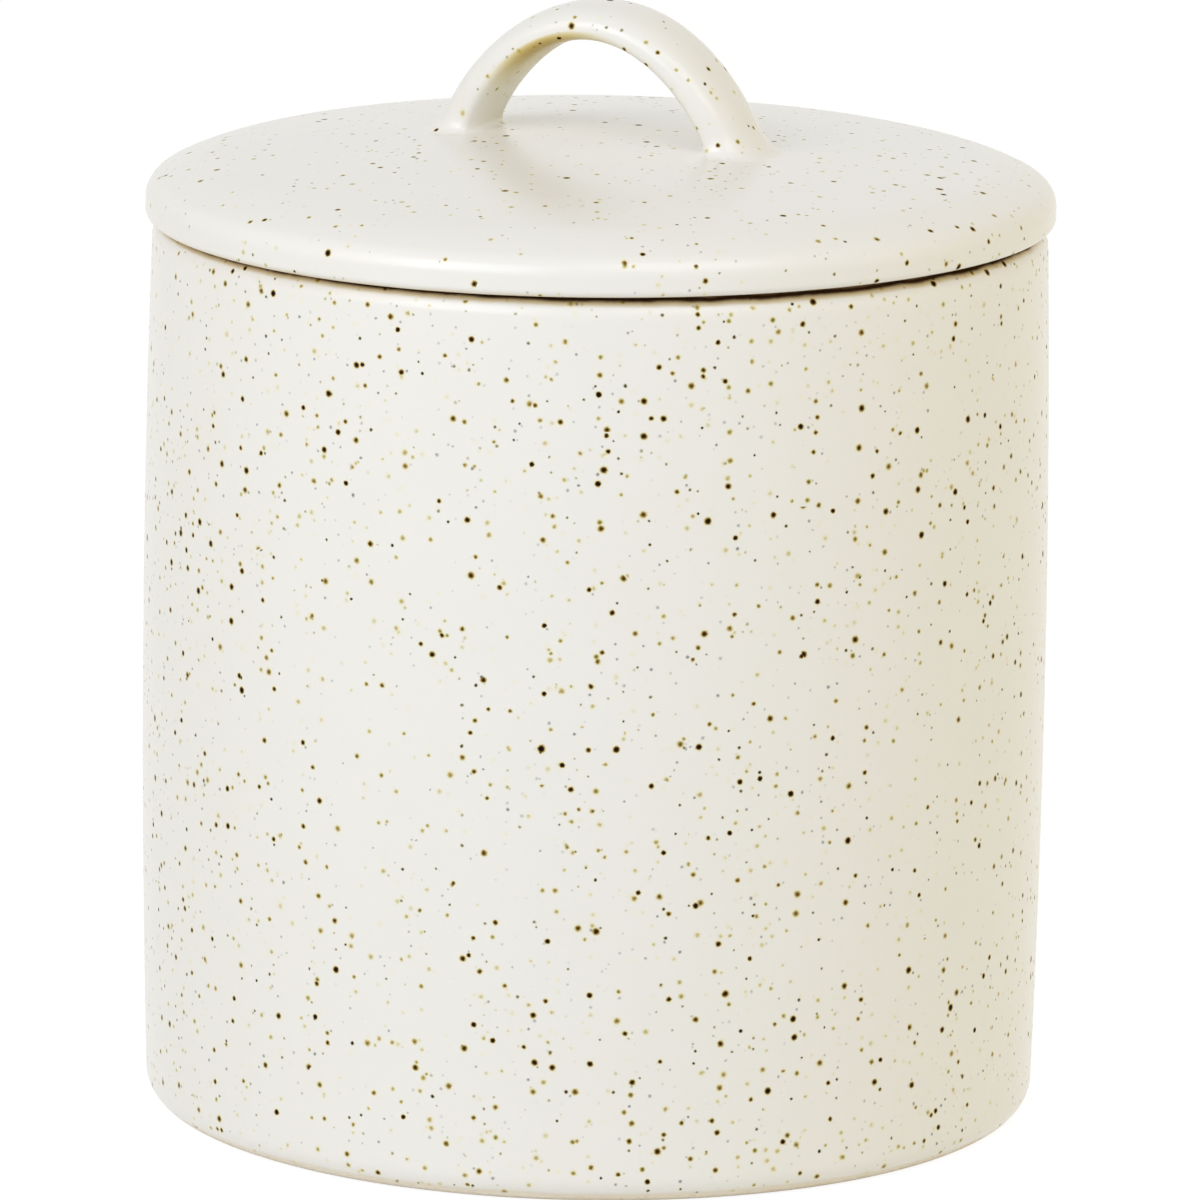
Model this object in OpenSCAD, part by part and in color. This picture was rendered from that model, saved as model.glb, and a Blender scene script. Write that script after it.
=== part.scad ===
// Lidded stoneware storage jar.
// A gently swelling jar, a domed lid that rests on the jar's rim, a locating ring under
// the lid that drops into the mouth, and a strap handle luted across the top of the lid.
// Millimetres, +Z up. The origin is the middle of the foot, and the handle runs along X.

/* [Jar] */
// Height of the jar from the table to the flat of its rim
jar_h = 119.5; // [90:0.5:180]
// Outer diameter where the wall meets the foot
foot_d = 118.4; // [100:0.2:160]
// Outer diameter at the rim
rim_d = 118.2; // [100:0.2:160]
// How far the wall swells past a straight side at mid height
belly = 0.9; // [0:0.1:4]
// Thickness of the wall
wall = 5.5; // [5:0.1:9]
// Thickness of the floor over the recessed underside
floor_t = 5; // [3:0.5:10]
// Radius of the hollow between floor and wall
floor_fillet = 9; // [3:0.5:20]

/* [Rim and foot] */
// Radius of the rim's outer edge
rim_outer_r = 3.2; // [1:0.1:3.4]
// Radius of the rim's inner edge
rim_inner_r = 1; // [0.4:0.1:1.2]
// Radius of the heel between wall and foot
heel_r = 3.7; // [1:0.1:5]
// Width of the flat foot ring that the jar stands on
foot_ring_w = 6; // [4:0.5:12]
// Depth of the recess inside the foot ring
foot_recess = 1.5; // [0.5:0.1:4]

/* [Lid] */
// How far the lid's edge stands out past the widest line of the wall
lid_overhang = 0.05; // [0:0.05:4]
// Height of the lid's widest line above the rim
lid_edge_h = 2; // [2:0.1:5]
// Radius of the lid's edge under its widest line
lid_under_r = 1.5; // [0.8:0.1:2]
// Radius of the lid's edge over its widest line
lid_edge_r = 3.3; // [1.5:0.1:5]
// Slope at which the edge turns into the shoulder
edge_slope = 27; // [20:1:50]
// Radius of the shoulder between edge and dome
shoulder_r = 24; // [8:1:36]
// Slope at which the shoulder turns into the dome
dome_slope = 7.5; // [5:0.5:12]
// Thickness of the lid under the middle of its dome
lid_t = 5.5; // [4:0.1:8]

/* [Locating ring] */
// Gap all round between the ring and the mouth of the jar
ring_gap = 0.8; // [0.4:0.1:2]
// How deep the ring reaches into the mouth
ring_h = 8; // [4:0.5:16]
// Thickness of the ring
ring_t = 4.6; // [3:0.1:7]
// Radius of the ring's lower edges
ring_edge_r = 1.2; // [0.4:0.1:1.4]

/* [Handle] */
// Distance between the middles of the two feet
handle_span = 39; // [32:0.2:60]
// Height of the strap's middle line over the crest of the lid, at the crown
handle_rise = 15.5; // [12:0.1:30]
// How far the strap runs level from the crown before it bends down
crown_reach = 12; // [8:0.5:18]
// How far the strap stands upright over its feet
leg_reach = 2.8; // [1:0.1:8]
// Width of the strap at the crown
strap_w = 12.8; // [8:0.1:20]
// Width of the strap over its feet
strap_foot_w = 10.7; // [8:0.1:20]
// Thickness of the strap at the crown
strap_t = 4.9; // [4:0.1:8]
// Thickness of the strap over its feet
strap_foot_t = 6; // [4:0.1:8]
// Share of the thickness that lies outside the strap's widest line
strap_dome = 0.65; // [0.5:0.05:0.8]
// Roundness of the strap's outer face, from 2 for an oval to 4 for a rounded bar
strap_section = 2.3; // [2:0.1:4]
// Roundness of the strap's inner face, from 2 for an oval to 4 for a rounded bar
strap_inner_section = 3; // [2:0.1:4]
// How far each foot flares where it meets the lid
foot_flare = 1.7; // [0.5:0.1:3]
// Height over which the foot flares
flare_h = 3.5; // [2:0.1:6]

/* [Hidden] */
$fn = 180;
glaze = [0.90, 0.88, 0.82];
bare_clay = [0.80, 0.70, 0.56];

// Points on each round stretch of an outline
arc_steps = 10;
wall_steps = 24;
dome_steps = 14;
// Rows along half of the strap, rows in a buried foot, and points round the strap
strap_rows = 26;
buried_rows = 3;
strap_sides = 28;
// How deep the strap is lofted past the lid before it is trimmed to the dome
foot_bury = 1.2;

foot_r = foot_d / 2;
rim_r = rim_d / 2;
mouth_r = rim_r - wall;
floor_z = foot_recess + floor_t;
ring_outer_r = mouth_r - ring_gap;
ring_inner_r = ring_outer_r - ring_t;
widest_r = max([for (i = [0:wall_steps]) wall_r(jar_h * i / wall_steps)]);
lid_r = widest_r + lid_overhang;

// The lid's section is three arcs, each tangent to the next: edge, shoulder and dome
edge_c = [lid_r - lid_edge_r, jar_h + lid_edge_h];
shoulder_c = edge_c - (shoulder_r - lid_edge_r) * [sin(edge_slope), cos(edge_slope)];
dome_r = shoulder_r + shoulder_c[0] / sin(dome_slope);
dome_c = [0, shoulder_c[1] - (dome_r - shoulder_r) * cos(dome_slope)];
crest_z = dome_c[1] + dome_r;
under_c = [lid_r - lid_under_r, jar_h + lid_under_r];

// Points on an arc about centre c, from angle a to angle b
function arc(c, r, a, b, steps) =
    [for (i = [0:steps]) c + r * [cos(a + (b - a) * i / steps), sin(a + (b - a) * i / steps)]];

// Outer radius of the wall at height z
function wall_r(z) =
    foot_r + (rim_r - foot_r) * z / jar_h + 4 * belly * (z / jar_h) * (1 - z / jar_h);

// Points up the wall between two heights, set in from its outer face
function wall_points(z_from, z_to, inset) =
    [for (i = [0:wall_steps]) let (z = z_from + (z_to - z_from) * i / wall_steps) [wall_r(z) - inset, z]];

// Height of the dome at a distance from its axis
function dome_z(r) = dome_c[1] + sqrt(dome_r * dome_r - r * r);

function jar_outline() =
    let (
        heel_c = [wall_r(heel_r) - heel_r, heel_r],
        ring_in = heel_c[0] - foot_ring_w,
        rim_z = jar_h - rim_outer_r,
        rim_c = [wall_r(rim_z) - rim_outer_r, rim_z],
        lip_z = jar_h - rim_inner_r,
        lip_c = [wall_r(lip_z) - wall + rim_inner_r, lip_z],
        hollow_z = floor_z + floor_fillet,
        hollow_c = [wall_r(hollow_z) - wall - floor_fillet, hollow_z]
    )
    concat(
        [[0, foot_recess], [ring_in - foot_recess, foot_recess], [ring_in, 0]],
        arc(heel_c, heel_r, -90, 0, arc_steps),
        wall_points(heel_r, rim_z, 0),
        arc(rim_c, rim_outer_r, 0, 90, arc_steps),
        arc(lip_c, rim_inner_r, 90, 180, arc_steps),
        wall_points(lip_z, hollow_z, wall),
        arc(hollow_c, floor_fillet, 0, -90, arc_steps),
        [[0, floor_z]]
    );

function lid_outline() =
    concat(
        [[0, jar_h]],
        arc(under_c, lid_under_r, -90, 0, arc_steps),
        arc(edge_c, lid_edge_r, 0, 90 - edge_slope, arc_steps),
        arc(shoulder_c, shoulder_r, 90 - edge_slope, 90 - dome_slope, arc_steps),
        arc(dome_c, dome_r, 90 - dome_slope, 90, dome_steps)
    );

// The hollow under the dome keeps the lid's thickness and ends at the locating ring
function lid_hollow_outline() =
    let (
        under_r = dome_r - lid_t,
        reach = asin(ring_inner_r / under_r)
    )
    concat(
        [[0, jar_h - ring_h], [ring_inner_r, jar_h - ring_h]],
        arc(dome_c, under_r, 90 - reach, 90, dome_steps)
    );

function ring_outline() =
    let (
        low_z = jar_h - ring_h + ring_edge_r
    )
    concat(
        [[ring_inner_r, jar_h]],
        arc([ring_inner_r + ring_edge_r, low_z], ring_edge_r, 180, 270, arc_steps),
        arc([ring_outer_r - ring_edge_r, low_z], ring_edge_r, 270, 360, arc_steps),
        [[ring_outer_r, jar_h]]
    );

// The strap's middle line is one cubic curve from the crown down to each foot
foot_z = dome_z(handle_span / 2);
strap_line = [
    [0, crest_z + handle_rise],
    [crown_reach, crest_z + handle_rise],
    [handle_span / 2, foot_z + leg_reach],
    [handle_span / 2, foot_z]
];

function cubic(p, t) =
    pow(1 - t, 3) * p[0] + 3 * t * pow(1 - t, 2) * p[1] + 3 * t * t * (1 - t) * p[2] + pow(t, 3) * p[3];

function cubic_slope(p, t) =
    pow(1 - t, 2) * (p[1] - p[0]) + 2 * t * (1 - t) * (p[2] - p[1]) + t * t * (p[3] - p[2]);

// One row of the strap: its middle, its outward direction, and its place from crown to foot
function strap_row(t) =
    let (along = cubic_slope(strap_line, t) / norm(cubic_slope(strap_line, t)))
    [cubic(strap_line, t), [-along[1], along[0]], t];

// The rows of one leg, from the crown down into the lid
leg_rows = concat(
    [for (i = [0:strap_rows]) strap_row(i / strap_rows)],
    [for (i = [1:buried_rows]) [[handle_span / 2, foot_z - foot_bury * i / buried_rows], [1, 0], 1]]
);

// How far the section grows at height h over the foot
function flare(h) = h < flare_h ? foot_flare * pow(1 - h / flare_h, 2) : 0;

// A size that changes from crown to foot, at a place between them
function eased(crown, foot, t) = crown + (foot - crown) * t * t;

// A rounded section's share of its half width or of its thickness to one side
function rounded(x, section) = sign(x) * pow(abs(x), 2 / section);

// The section is domed outside its widest line and flatter inside it
function strap_ring(row) =
    let (
        grow = flare(row[0][1] - foot_z),
        thick = eased(strap_t, strap_foot_t, row[2]),
        half_w = eased(strap_w, strap_foot_w, row[2]) / 2 + grow,
        widest = thick * (0.5 - strap_dome)
    )
    [for (j = [0:strap_sides - 1])
        let (
            a = 360 * j / strap_sides,
            outside = a < 180,
            share = outside ? strap_dome : 1 - strap_dome,
            section = outside ? strap_section : strap_inner_section,
            p = row[0] + row[1] * (widest + (thick * share + grow) * rounded(sin(a), section))
        )
        [p[0], half_w * rounded(cos(a), section), p[1]]];

// A leg mirrored to the other side of the crown
function mirrored(row) = [[-row[0][0], row[0][1]], [-row[1][0], row[1][1]], row[2]];

module strap_loft() {
    last = len(leg_rows) - 1;
    rows = concat(
        [for (i = [last:-1:1]) mirrored(leg_rows[i])],
        leg_rows
    );
    points = [for (row = rows) each strap_ring(row)];
    top = (len(rows) - 1) * strap_sides;
    sides = [for (i = [0:len(rows) - 2], j = [0:strap_sides - 1])
        let (
            a = i * strap_sides + j,
            b = i * strap_sides + (j + 1) % strap_sides
        )
        each [[a, b, b + strap_sides], [a, b + strap_sides, a + strap_sides]]];
    first_end = [for (j = [1:strap_sides - 2]) [0, j + 1, j]];
    last_end = [for (j = [1:strap_sides - 2]) [top, top + j, top + j + 1]];
    polyhedron(points = points, faces = concat(sides, first_end, last_end));
}

module lid_form() {
    rotate_extrude() polygon(lid_outline());
}

module jar_body() {
    color(glaze) rotate_extrude() polygon(jar_outline());
}

module lid() {
    color(glaze) difference() {
        lid_form();
        rotate_extrude() polygon(lid_hollow_outline());
    }
}

module lid_flange() {
    color(bare_clay) rotate_extrude() polygon(ring_outline());
}

module strap_handle() {
    color(glaze) difference() {
        strap_loft();
        lid_form();
    }
}

jar_body();
lid();
lid_flange();
strap_handle();
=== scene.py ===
"""Lidded stoneware jar in speckled glaze.

The turned jar, its domed lid, the locating ring under the lid and the strap handle luted on top.
Each piece stands for its CAD node and moves with that node's body.
"""

import math
from collections.abc import Sequence
from typing import NamedTuple

import bmesh
import bpy
from bpy.props import FloatProperty, FloatVectorProperty, IntProperty, PointerProperty
from mathutils import Matrix, Vector


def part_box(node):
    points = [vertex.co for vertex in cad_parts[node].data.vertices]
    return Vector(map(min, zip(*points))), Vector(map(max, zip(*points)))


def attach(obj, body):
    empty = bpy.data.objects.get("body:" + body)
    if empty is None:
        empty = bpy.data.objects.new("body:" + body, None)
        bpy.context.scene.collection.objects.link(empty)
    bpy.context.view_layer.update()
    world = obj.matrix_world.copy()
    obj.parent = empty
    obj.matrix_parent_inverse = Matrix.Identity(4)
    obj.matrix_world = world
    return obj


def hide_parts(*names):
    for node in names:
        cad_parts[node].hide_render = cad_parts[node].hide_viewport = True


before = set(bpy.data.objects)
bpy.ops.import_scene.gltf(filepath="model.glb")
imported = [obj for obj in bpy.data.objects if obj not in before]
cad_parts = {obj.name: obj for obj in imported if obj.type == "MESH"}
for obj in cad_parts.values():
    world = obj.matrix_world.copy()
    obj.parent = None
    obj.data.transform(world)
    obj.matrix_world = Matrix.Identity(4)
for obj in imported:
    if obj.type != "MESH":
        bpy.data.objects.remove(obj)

bl_info = {
    "name": "Lidded Stoneware Jar",
    "version": (1, 0, 0),
    "blender": (4, 5, 0),
    "location": "View3D > Sidebar > Jar",
    "description": "Builds a lidded stoneware jar in speckled glaze on its CAD frame",
    "category": "Add Mesh",
}

MM = 0.001
QUARTER = math.pi / 2
ABOVE, BELOW = 1.0, -1.0
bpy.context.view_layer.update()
JAR_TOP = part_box("jar_body")[1]
LID_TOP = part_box("lid")[1]
RING_LOW, RING_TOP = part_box("lid_flange")
STRAP_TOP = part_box("strap_handle")[1]


class Speck(NamedTuple):
    """One kind of speck in the glaze.

    Its cell and its least and most radius are in millimetres. Share says how many cells hold a speck, and
    faintest, strongest and halo count layers of its tint.
    """

    tint: str
    cell: float
    least: float
    most: float
    share: float
    faintest: float
    strongest: float
    halo: float


class Wipe(NamedTuple):
    """Glaze wiped off ABOVE or BELOW a height, within a radius, and how thin it lies beside the line."""

    height: float
    side: float
    clay: Sequence[float]
    grog: Sequence[float]
    thin: float = 0.0
    within: float = 1.0


SPECKS = (
    Speck("Grey", cell=1.7, least=0.48, most=0.72, share=0.75, faintest=0.1, strongest=2.0, halo=0.0),
    Speck("Ochre", cell=1.95, least=0.62, most=1.0, share=0.48, faintest=0.2, strongest=2.4, halo=0.4),
    Speck("Soot", cell=1.9, least=0.42, most=0.66, share=0.8, faintest=0.3, strongest=7.0, halo=0.2),
    Speck("Iron", cell=2.3, least=0.75, most=1.15, share=0.68, faintest=2.0, strongest=9.5, halo=0.45),
)
TINTS = ("Cream", "Cloud", "Halo", *(speck.tint for speck in SPECKS))


def paint(red, green, blue):
    """Linear colour of a paint given in display values from 0 to 255."""
    shares = [value / 255 for value in (red, green, blue)]
    return [s / 12.92 if s <= 0.04045 else ((s + 0.055) / 1.055) ** 2.4 for s in shares]


def size(name, description, millimetres):
    """A length that the user can change, given in millimetres."""
    return FloatProperty(
        name=name, description=description, default=millimetres * MM, min=0.0, unit="LENGTH", precision=5
    )


def colour(name, description, default):
    """A colour that the user can change."""
    return FloatVectorProperty(
        name=name, description=description, default=default, size=3, min=0.0, max=1.0, subtype="COLOR"
    )


def angle(name, description, degrees):
    """An angle that the user can change, given in degrees."""
    return FloatProperty(name=name, description=description, default=math.radians(degrees), subtype="ANGLE")


def amount(name, description, default, most=1.0):
    """A plain number that the user can change."""
    return FloatProperty(
        name=name, description=description, default=default, min=0.0, max=most, precision=4
    )


class JarSizes(bpy.types.PropertyGroup):
    """Sizes of the jar's turned section"""

    height: size("Height", "Table to the flat of the rim", JAR_TOP.z / MM)
    foot_diameter: size("Foot diameter", "Outer diameter where the wall meets the foot", 118.4)
    rim_diameter: size("Rim diameter", "Outer diameter at the rim", 118.2)
    belly: size("Belly", "How far the wall swells past a straight side", 0.9)
    wall: size("Wall", "Thickness of the wall", 5.5)
    floor: size("Floor", "Thickness of the floor", 5.0)
    floor_hollow: size("Floor hollow", "Radius between floor and wall", 9.0)
    rim_outside: size("Rim outside", "Radius of the rim's outer edge", 3.2)
    rim_inside: size("Rim inside", "Radius of the rim's inner edge", 1.0)
    heel: size("Heel", "Radius between wall and foot", 3.7)
    foot_width: size("Foot width", "Width of the flat foot ring", 6.0)
    foot_recess: size("Foot recess", "Depth of the recess inside the foot ring", 1.5)
    segments: IntProperty(name="Segments", description="Steps round the jar", default=192, min=24)
    wobble: amount("Wobble", "Unevenness of the wall as a share of its radius", 0.0012, 0.01)


class LidSizes(bpy.types.PropertyGroup):
    """Sizes of the lid's turned section, and how it warped in the kiln"""

    radius: size("Radius", "Middle to the widest line of the edge", LID_TOP.y / MM)
    edge_height: size("Edge height", "Widest line above the rim", 2.0)
    edge_under: size("Edge under", "Radius of the edge under its widest line", 1.0)
    lip_width: size("Lip width", "Width of the lip outside the flat seat", 3.6)
    lip_drop: size("Lip drop", "How far the lip hangs below the seat", 0.37)
    edge_over: size("Edge over", "Radius of the edge over its widest line", 3.3)
    edge_slope: angle("Edge slope", "Slope at which the edge turns into the shoulder", 27.0)
    shoulder: size("Shoulder", "Radius between edge and dome", 24.0)
    dome_slope: angle("Dome slope", "Slope at which the shoulder turns into the dome", 7.5)
    thickness: size("Thickness", "Thickness under the middle of the dome", 5.5)
    segments: IntProperty(name="Segments", description="Steps round the lid", default=192, min=24)
    wobble: amount("Wobble", "Unevenness of the edge as a share of its radius", 0.0008, 0.01)
    lift: size("Warp", "How far the edge stands off the rim where it warped most", 0.5)
    lift_direction: angle("Warp direction", "Where round the lid it warped most", -20.0)


class RingSizes(bpy.types.PropertyGroup):
    """Sizes of the locating ring's turned section"""

    outer_radius: size("Outer radius", "Middle to the ring's outer face", RING_TOP.y / MM)
    thickness: size("Thickness", "Thickness of the ring", 4.6)
    depth: size("Depth", "How deep it reaches into the mouth", (RING_TOP.z - RING_LOW.z) / MM)
    edge: size("Edge", "Radius of the lower edges", 1.2)


class StrapSizes(bpy.types.PropertyGroup):
    """Sizes of the strap handle"""

    span: size("Span", "Distance between the middles of the feet", 39.0)
    top: size("Top", "Table to the top of the handle", STRAP_TOP.z / MM)
    crown_reach: size("Crown reach", "Level run from the crown before it bends down", 12.0)
    leg_reach: size("Leg reach", "Upright run over the feet", 2.8)
    crown_width: size("Crown width", "Width at the crown", 12.8)
    foot_width: size("Foot width", "Width over the feet", 10.7)
    crown_thickness: size("Crown thickness", "Thickness at the crown", 4.9)
    foot_thickness: size("Foot thickness", "Thickness over the feet", 6.0)
    dome: amount("Dome", "Share of the thickness outside the widest line", 0.65)
    outer_section: amount("Outer section", "Outer face, 2 for an oval strap, 4 for a rounded bar", 2.3, 6.0)
    inner_section: amount("Inner section", "Inner face, 2 for an oval strap, 4 for a rounded bar", 3.0, 6.0)
    fillet_height: size("Fillet height", "Where the feet start to flare", 3.4)
    fillet_spread: size("Fillet spread", "How far the feet flare over the lid", 2.0)


class GlazeLook(bpy.types.PropertyGroup):
    """Colours and gloss of the glaze"""

    cream: colour("Cream", "Body of the glaze", paint(241, 239, 233))
    cloud: colour("Cloud", "Where the glaze pools a little thicker", paint(240, 238, 231))
    halo: colour("Halo", "What one layer of the stain round a speck lets through", paint(253, 243, 184))
    grey: colour("Grey", "What one layer of mineral lets through", paint(164, 166, 168))
    ochre: colour("Ochre", "What one layer of ochre lets through", paint(164, 152, 78))
    soot: colour("Soot", "What one layer of soot lets through", paint(164, 160, 140))
    iron: colour("Iron", "What one layer of iron lets through", paint(164, 143, 76))
    # At full strength under the rim's bare band, this thin-glaze tint is partly thin glaze and partly
    # painted shade under the lid's edge.
    thin: colour("Thin glaze", "What shows of the clay under thin glaze", paint(226, 205, 164))
    thin_reach: size("Thin reach", "How far the glaze thins towards bare clay", 0.7)
    # Painted warm light: the tint inside the strap's arch stands in for warm light falling on its left
    # bend.
    warm: colour("Warm glaze", "Tint of the glaze inside the strap's arch", paint(232, 217, 164))
    speckle: amount("Speckle", "How many specks there are", 1.0, 2.0)
    lid_speckle: amount("Lid speckle", "How many specks there are on the lid and its handle", 0.45, 2.0)
    roughness: amount("Roughness", "Satin of the fired surface", 0.24)
    ripple: amount("Ripple", "Strength of the glaze's uneven surface", 0.10)


class ClayLook(bpy.types.PropertyGroup):
    """Colours of the bare stoneware, and of the painted shade on the rim under the lid's edge"""

    # The foot clay is pale fired clay made paler still, as painted bounce light from the white floor on the
    # heel's underside.
    foot: colour("Foot clay", "Fired clay of the foot", paint(252, 244, 229))
    foot_grog: colour("Foot grog", "Grog and iron in the foot", paint(238, 222, 194))
    foot_line: size("Foot line", "Height up to which the foot is wiped bare", 1.2)
    # The seat clay on the rim, the lid's lip and underside and the ring is darker than the foot clay,
    # partly as painted shade where lid and rim meet.
    seat: colour("Seat clay", "Fired clay of the rim, the lid's seat and the ring", paint(198, 170, 130))
    seat_grog: colour("Seat grog", "Grog and iron in the seats", paint(164, 132, 92))
    # Painted shade: the dark clay band on the rim, from the rim line up to its end line, stands in for the
    # shade in the gap under the lid's edge.
    toast: colour("Toasted clay", "Clay at the edge of the glaze, next to the seats", paint(66, 43, 26))
    toast_grog: colour("Toasted grog", "Grog and iron in the toasted clay", paint(48, 30, 18))
    rim_line: size("Rim line", "How far down from its top the rim is bare", 0.84)
    toast_line: size("Toast line", "How far down from its top the rim is toasted no more", 0.3)
    lip_line: size("Lip line", "How far up from its lowest point the lid is bare", 0.12)
    seat_width: size("Seat width", "How far in from the lid's edge its bare seat starts", 2.4)


class StageLook(bpy.types.PropertyGroup):
    """Camera and light"""

    azimuth: angle("Azimuth", "Camera's angle round the jar", 24.92)
    elevation: angle("Elevation", "Camera's angle over the table", 12.204)
    roll: angle("Roll", "Turn of the frame", 0.842)
    distance: FloatProperty(name="Distance", description="Camera to jar", default=1.5, unit="LENGTH")
    lens: FloatProperty(
        name="Lens", description="Focal length on a 36 mm frame", default=338.25, unit="CAMERA"
    )
    aim_side: size("Aim side", "Middle of the frame to the right of the axis", 0.652)
    aim_height: size("Aim height", "Middle of the frame above the table", 67.383)
    sky: amount("Sky", "Even light from all round", 0.455, 2.0)
    sky_colour: colour("Sky colour", "Colour of the even light", (1.0, 1.0, 0.91))
    window: amount("Window", "Power of the light at the left in watts", 3.7, 100.0)
    window_colour: colour("Window colour", "Colour of the light at the left", (0.70, 0.825, 1.0))
    key: amount("Key", "Power of the light further round to the left in watts", 2.1, 100.0)
    key_colour: colour("Key colour", "Colour of the light further round to the left", (1.0, 0.81, 0.675))
    top: amount("Top", "Power of the high light at the right in watts", 2.56, 100.0)
    top_colour: colour("Top colour", "Colour of the high light at the right", (0.90, 0.86, 1.0))
    side: amount("Side", "Power of the low light at the right in watts", 1.95, 100.0)
    side_colour: colour("Side colour", "Colour of the low light at the right", (1.0, 0.76, 0.155))


class StonewareJar(bpy.types.PropertyGroup):
    """Everything that can be changed on the jar"""

    jar: PointerProperty(type=JarSizes)
    lid: PointerProperty(type=LidSizes)
    ring: PointerProperty(type=RingSizes)
    strap: PointerProperty(type=StrapSizes)
    glaze: PointerProperty(type=GlazeLook)
    clay: PointerProperty(type=ClayLook)
    stage: PointerProperty(type=StageLook)


class Wiring:
    """Adds nodes to one tree and joins them."""

    spacing = 200
    # The Mix node's colour sockets by number, because its other kinds of value have the same names
    colour_a, colour_b, colour_mixed = 6, 7, 2

    def __init__(self, tree):
        self.tree = tree

    def feed(self, socket, value):
        """Links a socket, or sets a constant on it."""
        if isinstance(value, bpy.types.NodeSocket):
            self.tree.links.new(value, socket)
        else:
            socket.default_value = value

    def node(self, kind, inputs=None, **settings):
        """A new node with its settings and inputs."""
        made = self.tree.nodes.new(kind)
        made.location.x = self.spacing * len(self.tree.nodes)
        for name, value in settings.items():
            setattr(made, name, value)
        for key, value in (inputs or {}).items():
            self.feed(made.inputs[key], value)
        return made

    def math(self, operation, first, second=0.0):
        """A number worked out from one or two others."""
        return self.node("ShaderNodeMath", {0: first, 1: second}, operation=operation).outputs[0]

    def vector(self, operation, first, second):
        """A vector worked out from two others."""
        return self.node("ShaderNodeVectorMath", {0: first, 1: second}, operation=operation).outputs[0]

    def ease(self, value, low, high, to_low=0.0, to_high=1.0):
        """A smooth step from one level to another."""
        levels = {"Value": value, "From Min": low, "From Max": high, "To Min": to_low, "To Max": to_high}
        return self.node("ShaderNodeMapRange", levels, interpolation_type="SMOOTHSTEP").outputs["Result"]

    def mix(self, share, first, second):
        """One colour laid over another."""
        layers = {0: share, self.colour_a: first, self.colour_b: second}
        return self.node("ShaderNodeMix", layers, data_type="RGBA").outputs[self.colour_mixed]

    def stain(self, tone, tint, density):
        """A colour seen through a dye that lets less through the denser it lies."""
        dye = self.node("ShaderNodeGamma", {"Color": tint, "Gamma": density}).outputs[0]
        layers = {0: 1.0, self.colour_a: tone, self.colour_b: dye}
        mixed = self.node("ShaderNodeMix", layers, data_type="RGBA", blend_type="MULTIPLY")
        return mixed.outputs[self.colour_mixed]

    def noise(self, vector, scale, detail=2.0):
        """The node of a soft cloudy noise round one half."""
        return self.node("ShaderNodeTexNoise", {"Vector": vector, "Scale": scale, "Detail": detail})

    def group(self, tree, inputs):
        """The outputs of a shader node group placed with its own values."""
        return self.node("ShaderNodeGroup", inputs, node_tree=tree).outputs


def new_group(name, kind, inputs, outputs):
    """An empty node group with named sockets: its tree, its wiring, its inputs and its outputs."""
    tree = bpy.data.node_groups.new(name, kind)
    for label, socket in inputs.items():
        tree.interface.new_socket(label, in_out="INPUT", socket_type=f"NodeSocket{socket}")
    for label, socket in outputs.items():
        tree.interface.new_socket(label, in_out="OUTPUT", socket_type=f"NodeSocket{socket}")
    wire = Wiring(tree)
    return tree, wire, wire.node("NodeGroupInput").outputs, wire.node("NodeGroupOutput").inputs


def kept_group(build):
    """A node group that is built once and then used again."""
    name = build.__name__
    return bpy.data.node_groups.get(name) or build(name)


# Turned forms: uneven patches per metre, where the lid's warp starts and ends and how it falls off round
# the lid, the seeds of the unevenness, and what counts as one point and as a sharp edge
WOBBLE_SCALE = 28.0
WARP_FROM = 25 * MM
WARP_TO = 58 * MM
WARP_FALL = 1.5
JAR_SEED = 3.0
LID_SEED = 11.0
MERGE_DISTANCE = 1e-7
SAME_POINT = 1e-6
SHARP_ANGLE = math.radians(50)


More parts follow.
